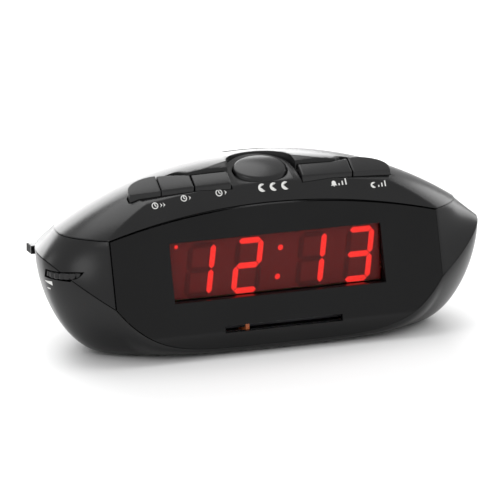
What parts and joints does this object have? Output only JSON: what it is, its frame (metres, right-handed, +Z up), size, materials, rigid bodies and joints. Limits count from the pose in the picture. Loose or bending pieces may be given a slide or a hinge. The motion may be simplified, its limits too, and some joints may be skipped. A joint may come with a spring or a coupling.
{
  "type": "alarm clock radio",
  "caption": "Low oval mains clock radio with a slanted front, red LED time display, tuning scale, top keys, edge thumbwheels and a slide switch",
  "frame": {"origin": "centre of the footprint, on the surface the feet stand on", "axes": "+X to the right seen from the front, +Y to the back, +Z up; the display faces -Y"},
  "size_m": [0.1866, 0.0942, 0.0733],
  "materials": {
    "black_plastic": "satin moulded",
    "gloss_panel": "polished",
    "red_filter": "clear tinted red",
    "grey_plastic": "moulded",
    "circuit_board": "solder mask",
    "steel": "plated",
    "laminated_iron": "varnished",
    "copper_winding": "enamelled wire",
    "rubber": "moulded",
    "orange_pointer": "moulded",
    "dark_ferrite": "sintered",
    "scale_strip": "printed strip",
    "battery_sleeve": "printed sleeve"
  },
  "bodies": {
    "case": {"alarm_switch": "grey_plastic", "antenna_coil": "copper_winding", "backup_battery": "battery_sleeve", "battery_box": "black_plastic", "battery_clip": "steel", "display_board": "circuit_board", "display_filter": "red_filter", "ferrite_rod": "dark_ferrite", "foot_left_front": "rubber", "foot_left_rear": "rubber", "foot_right_front": "rubber", "foot_right_rear": "rubber", "front_panel": "gloss_panel", "function_switch": "steel", "hour_switch": "grey_plastic", "housing_screw_1": "steel", "housing_screw_2": "steel", "housing_screw_3": "steel", "housing_screw_4": "steel", "key_board": "circuit_board", "led_display": "grey_plastic", "lower_housing": "black_plastic", "main_board": "circuit_board", "mains_inlet": "black_plastic", "minute_switch": "grey_plastic", "pointer_rail": "steel", "scale_plate": "scale_strip", "sleep_switch": "grey_plastic", "snooze_switch": "grey_plastic", "speaker": "steel", "speaker_magnet": "dark_ferrite", "time_switch": "grey_plastic", "top_cover": "black_plastic", "transformer_core": "laminated_iron", "transformer_winding": "copper_winding", "tuning_board": "circuit_board", "tuning_capacitor": "grey_plastic", "upper_housing": "black_plastic", "volume_board": "circuit_board", "volume_control": "steel"},
    "snooze_key": {"snooze_key": "black_plastic"},
    "hour_key": {"hour_key": "black_plastic"},
    "minute_key": {"minute_key": "black_plastic"},
    "time_key": {"time_key": "black_plastic"},
    "alarm_key": {"alarm_key": "black_plastic"},
    "sleep_key": {"sleep_key": "black_plastic"},
    "volume_wheel": {"volume_wheel": "black_plastic"},
    "tuning_wheel": {"tuning_wheel": "black_plastic"},
    "dial_pointer": {"dial_pointer": "orange_pointer"},
    "switch_knob": {"switch_knob": "black_plastic"},
    "battery_door": {"battery_door": "black_plastic"}
  },
  "joints": [
    {"name": "snooze_key_press", "type": "slide", "parent": "case", "child": "snooze_key", "axis": [0, 0, -1], "range_m": [0, 0.0008], "stiffness_N_per_m": 600, "springref_m": -0.0005},
    {"name": "hour_key_press", "type": "slide", "parent": "case", "child": "hour_key", "axis": [0, 0, -1], "range_m": [0, 0.0008], "stiffness_N_per_m": 600, "springref_m": -0.0005},
    {"name": "minute_key_press", "type": "slide", "parent": "case", "child": "minute_key", "axis": [0, 0, -1], "range_m": [0, 0.0008], "stiffness_N_per_m": 600, "springref_m": -0.0005},
    {"name": "time_key_press", "type": "slide", "parent": "case", "child": "time_key", "axis": [0, 0, -1], "range_m": [0, 0.0008], "stiffness_N_per_m": 600, "springref_m": -0.0005},
    {"name": "alarm_key_press", "type": "slide", "parent": "case", "child": "alarm_key", "axis": [0, 0, -1], "range_m": [0, 0.0008], "stiffness_N_per_m": 600, "springref_m": -0.0005},
    {"name": "sleep_key_press", "type": "slide", "parent": "case", "child": "sleep_key", "axis": [0, 0, -1], "range_m": [0, 0.0008], "stiffness_N_per_m": 600, "springref_m": -0.0005},
    {"name": "volume_turn", "type": "hinge", "parent": "case", "child": "volume_wheel", "pos_m": [-0.0823, -0.02439, 0.0357], "axis": [0, 0, 1], "range_deg": [-130, 140]},
    {"name": "tuning_turn", "type": "hinge", "parent": "case", "child": "tuning_wheel", "pos_m": [0.0824, -0.00839, 0.0357], "axis": [0, 0, 1], "range_deg": [-32, 147]},
    {"name": "pointer_travel", "type": "slide", "parent": "case", "child": "dial_pointer", "axis": [1, 0, 0], "range_m": [-0.0083, 0.0377]},
    {"name": "switch_slide", "type": "slide", "parent": "case", "child": "switch_knob", "axis": [0, 1, 0], "range_m": [-0.004, 0.004]},
    {"name": "battery_door_hinge", "type": "hinge", "parent": "case", "child": "battery_door", "pos_m": [0, 0.00361, 0.0008], "axis": [1, 0, 0], "range_deg": [0, 100]}
  ],
  "couplings": [
    {"joint": "pointer_travel", "follows": "tuning_turn", "m_per_rad": 0.014642}
  ]
}
